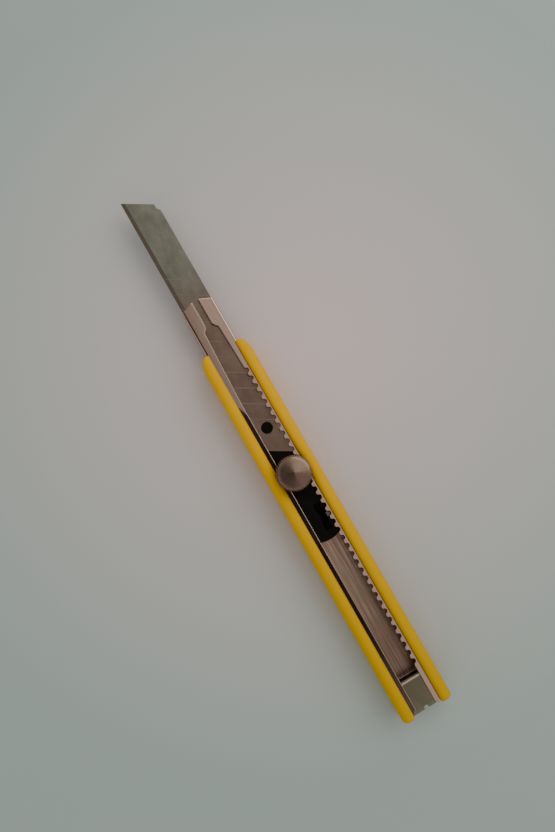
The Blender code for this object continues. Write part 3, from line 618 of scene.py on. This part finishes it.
def ground_blade_steel():
    """Carbon tool steel, rolled, then ground along the edge: a dull grey flat with oil
    stains 4 to 6 mm across, painted browner and darker towards the slider as painted
    shade and reflection, and a darker, matt bevel with grinding marks across it. Each
    score line has a thin pale burr that fades where the stains lie: the slanted phase is
    folded to its distance from the nearest line, and the burr ends 0.15 mm from it."""
    made, tree, shader, place = start_finish("ground_blade_steel", Metallic=1.0)
    size = per_metre(6.667, 0.3846, 0.3846)
    fine = add_node(tree, "Mapping", {"Vector": place, "Scale": size}).outputs[0]
    size = per_metre(0.1923, 3.333, 3.333)
    across = add_node(tree, "Mapping", {"Vector": place, "Scale": size}).outputs[0]
    size = per_metre(6.25, 3.846, 3.846)
    wide = add_node(tree, "Mapping", {"Vector": place, "Scale": size}).outputs[0]
    lines = add_node(tree, "TexNoise", {"Vector": fine, "Scale": 1.0, "Detail": 4.0})
    marks = add_node(tree, "TexNoise", {"Vector": across, "Scale": 1.0, "Detail": 3.0})
    blots = {"Vector": wide, "Scale": 1.0, "Detail": 5.0, "Roughness": 0.6}
    stains = add_node(tree, "TexNoise", blots)
    split = add_node(tree, "SeparateXYZ", {"Vector": place})
    start = (BEVEL_START - 0.02) * MM
    end = (BEVEL_START + 0.02) * MM
    bevel = add_node(tree, "MapRange", {0: split.outputs[1], 1: start, 2: end, 3: 0.0, 4: 1.0})
    ramp = add_node(tree, "MapRange", {0: stains.outputs[0], 1: 0.35, 2: 0.65, 3: 0.0, 4: 1.0})
    clean = add_node(
        tree, "Mix", {0: ramp.outputs[0], 6: linear("7A7F73"), 7: linear("959A8E")}, data_type="RGBA"
    )
    # The stains in browner, darker tones: painted shade and reflection, used towards the slider.
    stains_and_slot_shade = add_node(
        tree, "Mix", {0: ramp.outputs[0], 6: linear("7E6B60"), 7: linear("958277")}, data_type="RGBA"
    )
    slant = add_node(tree, "VectorMath", {0: place, 1: SCORE_STEP}, operation="DOT_PRODUCT")
    score = add_node(tree, "Math", {0: slant.outputs["Value"], 1: SCORE_SHIFT}, operation="ADD")
    away = add_node(tree, "Math", {0: score.outputs[0], 1: 0.5}, operation="PINGPONG")
    burr = add_node(tree, "MapRange", {0: away.outputs[0], 1: 0.012, 2: 0.03, 3: 1.0, 4: 0.0})
    rubbed = add_node(tree, "MapRange", {0: stains.outputs[0], 1: 0.45, 2: 0.6, 3: 0.35, 4: 0.0})
    bright = add_node(tree, "Math", {0: burr.outputs[0], 1: rubbed.outputs[0]}, operation="MULTIPLY")
    # Painted shade and reflection: the blade turns browner and darker towards the slider.
    back = add_node(tree, "MapRange", {0: split.outputs[0], 1: 82 * MM, 2: 62 * MM, 3: 0.0, 4: 1.0})
    flat = add_node(
        tree, "Mix", {0: back.outputs[0], 6: clean.outputs[2], 7: stains_and_slot_shade.outputs[2]}, data_type="RGBA"
    )
    tone = add_node(
        tree, "Mix", {0: bevel.outputs[0], 6: flat.outputs[2], 7: linear("726C62")}, data_type="RGBA"
    )
    lined = add_node(
        tree, "Mix", {0: bright.outputs[0], 6: tone.outputs[2], 7: linear("B4AD9F")}, data_type="RGBA"
    )
    relief = add_node(tree, "Mix", {0: bevel.outputs[0], 2: lines.outputs[0], 3: marks.outputs[0]})
    satin = add_node(tree, "MapRange", {0: stains.outputs[0], 1: 0.3, 2: 0.7, 3: 0.42, 4: 0.3})
    rough = add_node(tree, "Mix", {0: bevel.outputs[0], 2: satin.outputs[0], 3: 0.62})
    bump = add_node(tree, "Bump", {"Height": relief.outputs[0], "Strength": 0.4, "Distance": 0.01 * MM})
    wire(tree, shader, lined.outputs[2], rough.outputs[0], bump.outputs[0])
    return made


def moulded_black_nylon(name):
    """Nylon, injection moulded: soft black with a spark-eroded grain 0.3 mm across and
    slightly browner rubbed patches 3 mm across."""
    made, tree, shader, place = start_finish(name, IOR=1.53, Specular_IOR_Level=0.12)
    size = per_metre(1, 1, 1)
    grain = add_node(tree, "Mapping", {"Vector": place, "Scale": size}).outputs[0]
    spark = add_node(tree, "TexNoise", {"Vector": grain, "Scale": 1 / 0.3125, "Detail": 3.0})
    rubbed = add_node(tree, "TexNoise", {"Vector": grain, "Scale": 1 / 3.333, "Detail": 4.0})
    patch = add_node(tree, "MapRange", {0: rubbed.outputs[0], 1: 0.45, 2: 0.75, 3: 0.0, 4: 1.0})
    tone = add_node(
        tree, "Mix", {0: patch.outputs[0], 6: linear("050302"), 7: linear("070504")}, data_type="RGBA"
    )
    rough = add_node(tree, "MapRange", {0: spark.outputs[0], 1: 0.3, 2: 0.7, 3: 0.45, 4: 0.6})
    bump = add_node(tree, "Bump", {"Height": spark.outputs[0], "Strength": 0.3, "Distance": 0.03 * MM})
    wire(tree, shader, tone.outputs[2], rough.outputs[0], bump.outputs[0])
    return made


def turned_nickel_steel():
    """Free-cutting steel, turned and nickel plated: rings round the middle, a sine of the
    radius 0.15 mm from one to the next, spread the light into a fan, and the plating is
    warm and cloudy in spots 1.4 mm across."""
    made, tree, shader, place = start_finish("turned_nickel_steel", Metallic=1.0)
    middle = add_node(tree, "Mapping", {"Vector": place, "Location": (-WHEEL_X * MM, 0, 0)})
    split = add_node(tree, "SeparateXYZ", {"Vector": middle.outputs[0]})
    flat = add_node(tree, "CombineXYZ", {0: split.outputs[0], 1: split.outputs[1]})
    radius = add_node(tree, "VectorMath", {0: flat.outputs[0]}, operation="LENGTH")
    turns = 2 * math.pi / RING_PITCH / MM
    phase = add_node(tree, "Math", {0: radius.outputs["Value"], 1: turns}, operation="MULTIPLY")
    rings = add_node(tree, "Math", {0: phase.outputs[0]}, operation="SINE")
    spots = {"Vector": middle.outputs[0], "Scale": 1 / 1.43 / MM, "Detail": 4.0}
    mist = add_node(tree, "TexNoise", spots)
    relief = add_node(
        tree, "Math", {0: mist.outputs[0], 1: 0.8, 2: rings.outputs[0]}, operation="MULTIPLY_ADD"
    )
    tone = add_node(
        tree, "Mix", {0: mist.outputs[0], 6: linear("7C695D"), 7: linear("897668")}, data_type="RGBA"
    )
    rough = add_node(tree, "MapRange", {0: mist.outputs[0], 1: 0.3, 2: 0.7, 3: 0.22, 4: 0.28})
    groove = {"Height": relief.outputs[0], "Strength": 0.5, "Distance": 0.006 * MM}
    bump = add_node(tree, "Bump", groove)
    wire(tree, shader, tone.outputs[2], rough.outputs[0], bump.outputs[0])
    return made


def blued_spring_steel():
    """Spring steel, tempered blue-black, its tooth rubbed bright by the rack."""
    made, tree, shader, place = start_finish("blued_spring_steel", Metallic=1.0)
    split = add_node(tree, "SeparateXYZ", {"Vector": place})
    worn = add_node(tree, "MapRange", {0: split.outputs[1], 1: -2.6 * MM, 2: -2.2 * MM, 3: 1.0, 4: 0.0})
    scale = add_node(tree, "TexNoise", {"Vector": place, "Scale": 1 / 1.11 / MM, "Detail": 3.0})
    blue = add_node(
        tree, "Mix", {0: scale.outputs[0], 6: linear("0B0A0B"), 7: linear("151315")}, data_type="RGBA"
    )
    tone = add_node(
        tree, "Mix", {0: worn.outputs[0], 6: blue.outputs[2], 7: linear("7F746A")}, data_type="RGBA"
    )
    rough = add_node(tree, "MapRange", {0: scale.outputs[0], 1: 0.3, 2: 0.7, 3: 0.25, 4: 0.42})
    bump = add_node(tree, "Bump", {"Height": scale.outputs[0], "Strength": 0.2, "Distance": 0.01 * MM})
    wire(tree, shader, tone.outputs[2], rough.outputs[0], bump.outputs[0])
    return made


def plain_steel(name, dark, light, stretch, low, high, rubbed=(1.0, 2.0)):
    """Steel part: tone and gloss follow a grain whose size along each axis in millimetres
    is given by stretch, as rolling or turning leaves it, and roughness runs from low to
    high. From the first to the second x in rubbed, in metres, it grows paler: a painted
    highlight, as along the clip's bend; the default lies beyond the knife."""
    made, tree, shader, place = start_finish(name, Metallic=1.0)
    size = per_metre(*stretch)
    grain = add_node(tree, "Mapping", {"Vector": place, "Scale": size}).outputs[0]
    lines = add_node(tree, "TexNoise", {"Vector": grain, "Scale": 1.0, "Detail": 4.0})
    tone = add_node(
        tree, "Mix", {0: lines.outputs[0], 6: linear(dark), 7: linear(light)}, data_type="RGBA"
    )
    split = add_node(tree, "SeparateXYZ", {"Vector": place})
    start, end = rubbed
    # Painted highlight: paler between the two x in rubbed.
    bend_highlight = add_node(tree, "MapRange", {0: split.outputs[0], 1: start, 2: end, 3: 0.0, 4: 1.0})
    bright = add_node(
        tree, "Mix", {0: bend_highlight.outputs[0], 6: tone.outputs[2], 7: linear("CDC7B6")}, data_type="RGBA"
    )
    rough = add_node(tree, "MapRange", {0: lines.outputs[0], 1: 0.3, 2: 0.7, 3: low, 4: high})
    bump = add_node(tree, "Bump", {"Height": lines.outputs[0], "Strength": 0.3, "Distance": 0.01 * MM})
    wire(tree, shader, bright.outputs[2], rough.outputs[0], bump.outputs[0])
    return made


# ---------------------------------------------------------------- stage


def add_floor():
    """Matt pale card under the knife with a painted pool of light: warm beside its front
    half, and greener and darker with the distance from there, up to 120 mm."""
    made, tree, shader, place = start_finish("matt_pale_card", Roughness=0.9)
    # Painted pool of light: warm near the knife's front half, greener and darker further out.
    centre = add_node(tree, "Mapping", {"Vector": place, "Location": (-45 * MM, 20 * MM, 0)})
    reach = add_node(tree, "VectorMath", {0: centre.outputs[0]}, operation="LENGTH")
    far = {0: reach.outputs["Value"], 1: 0.0, 2: 120 * MM, 3: 0.0, 4: 1.0}
    share = add_node(tree, "MapRange", far)
    tone = add_node(
        tree, "Mix", {0: share.outputs[0], 6: linear("DCC8C6"), 7: linear("A8B5AE")}, data_type="RGBA"
    )
    fibre = add_node(tree, "TexNoise", {"Vector": place, "Scale": 1 / 0.6667 / MM, "Detail": 3.0})
    bump = add_node(tree, "Bump", {"Height": fibre.outputs[0], "Strength": 0.15, "Distance": 0.04 * MM})
    wire(tree, shader, tone.outputs[2], None, bump.outputs[0])
    half_size = 1500
    line = np.linspace(-half_size, half_size, 3)
    grid = np.stack([*np.meshgrid(line, line, indexing="ij"), np.zeros((3, 3))], axis=-1)
    floor = add_surface("floor", grid, around=False, capped=False)
    floor.data.materials.append(made)
    if floor.data.polygons[0].normal.z < 0:
        floor.data.flip_normals()


def add_light(name, place, size, power, colour):
    """Soft rectangular light that faces the knife."""
    lamp = bpy.data.lights.new(name, "AREA")
    lamp.shape = "RECTANGLE"
    lamp.size, lamp.size_y = size
    lamp.energy = power
    lamp.color = linear(colour)[:3]
    thing = bpy.data.objects.new(name, lamp)
    bpy.context.scene.collection.objects.link(thing)
    thing.location = place
    thing.rotation_euler = (-Vector(place)).to_track_quat("-Z", "Y").to_euler()


def add_world():
    """Studio surroundings: an even dome for matt surfaces, and for mirrored rays a room
    that is dark overhead and on the +Y side and pale on the light's side, -Y, and low
    down all round."""
    world = bpy.data.worlds.new("studio")
    bpy.context.scene.world = world
    world.use_nodes = True
    tree = world.node_tree
    ground = tree.nodes["Background"]
    way = add_node(tree, "TexCoord").outputs["Generated"]
    split = add_node(tree, "SeparateXYZ", {"Vector": way})
    turn = {0: split.outputs[1], 1: 0.06, 2: -0.08, 3: 0.0, 4: 1.0}
    side = add_node(tree, "MapRange", turn, interpolation_type="SMOOTHSTEP")
    far = add_node(tree, "MapRange", {0: split.outputs[1], 1: -0.2, 2: -0.45, 3: 1.0, 4: 0.55})
    low = add_node(tree, "MapRange", {0: split.outputs[2], 1: 0.95, 2: 0.8, 3: 0.0, 4: 0.85})
    pale = add_node(tree, "Math", {0: side.outputs[0], 1: far.outputs[0]}, operation="MULTIPLY")
    share = add_node(tree, "Math", {0: pale.outputs[0], 1: low.outputs[0]}, operation="MAXIMUM")
    dark, pale_wall, dome = (0.012, 0.008, 0.006, 1), (0.66, 0.57, 0.53, 1), (0.585, 0.615, 0.61, 1)
    glow = add_node(tree, "Mix", {0: share.outputs[0], 6: dark, 7: pale_wall}, data_type="RGBA")
    mirrored = add_node(tree, "LightPath").outputs["Is Glossy Ray"]
    shown = add_node(
        tree, "Mix", {0: mirrored, 6: dome, 7: glow.outputs[2]}, data_type="RGBA"
    )
    tree.links.new(shown.outputs[2], ground.inputs["Color"])


def add_camera():
    """Camera above the knife, its picture's right, down and ahead given as directions."""
    camera = bpy.data.cameras.new("camera")
    camera.lens = 27.6923
    camera.sensor_width = 36
    camera.clip_start = 5 * MM
    right = (-0.49678, -0.86713, 0.03609)
    down = (-0.86549, 0.49190, -0.09467)
    ahead = (0.06434, -0.07827, -0.99485)
    place = (0.020435, 0.009641, 0.181355)
    rows = [(right[i], -down[i], -ahead[i]) for i in range(3)]
    turn = Matrix(rows).to_4x4()
    thing = bpy.data.objects.new("camera", camera)
    thing.matrix_world = Matrix.Translation(place) @ turn
    bpy.context.scene.collection.objects.link(thing)
    bpy.context.scene.camera = thing


# ---------------------------------------------------------------- assembly

yellow = moulded_yellow_abs()
stainless = bright_rolled_stainless()
steel = ground_blade_steel()
black = moulded_black_nylon("moulded_black_nylon")
nickel = turned_nickel_steel()
blued = blued_spring_steel()

install(sleeve_surface(), "handle", "yellow_plastic", yellow, "handle_sleeve")
install(channel_surface(), "handle", "rolled_stainless", stainless, "blade_channel")
install(wheel_surface(), "wheel", "turned_steel", nickel, "thumb_wheel")

slider = soften_copy("slider_body", "slider_moulding", SLIDER_EDGE)
install(slider, "slider", "black_plastic", black, "slider_body")

# The clip's bent front is painted paler: a painted highlight along the bend.
bent_front = ((CLIP_FRONT - 0.75) * MM, (CLIP_FRONT - 0.35) * MM)
clip_steel = plain_steel(
    "rolled_clip_stainless", "73725F", "918F79", (6, 0.12, 0.12), 0.2, 0.34, bent_front
)
clip = soften_copy("snapper_clip", "snapper_sheet", CLIP_EDGE)
install(clip, "tail_snapper", "clip_stainless", clip_steel, "snapper_clip")

# The plug is black so that its face under the clip's bend shows as the dark band there: a dark part
# standing in for shade.
plug_nylon = moulded_black_nylon("moulded_black_plug")
plug = soften_copy("tail_plug", "plug_moulding", PLUG_EDGE)
install(plug, "tail_snapper", "plug_plastic", plug_nylon, "tail_plug")

zinc = plain_steel("zinc_plated_steel", "8E9092", "B4B6B6", (0.6, 0.6, 0.6), 0.3, 0.45)
stud = plain_steel("turned_stud_steel", "8A837C", "A9A29B", (2, 2, 0.1), 0.25, 0.4)
washer = plain_steel("pressed_washer_steel", "9B958E", "BDB7AF", (0.5, 0.5, 0.5), 0.25, 0.4)
paint("snap_off_blade", steel)
paint("click_spring", blued)
paint("clamp_plate", zinc)
paint("clamp_stud", stud)
paint("wheel_washer", washer)

add_camera()
add_world()
add_floor()
add_light("window", (0.16, -0.36, 0.36), (0.6, 0.4), 1.15, "FFF8F2")
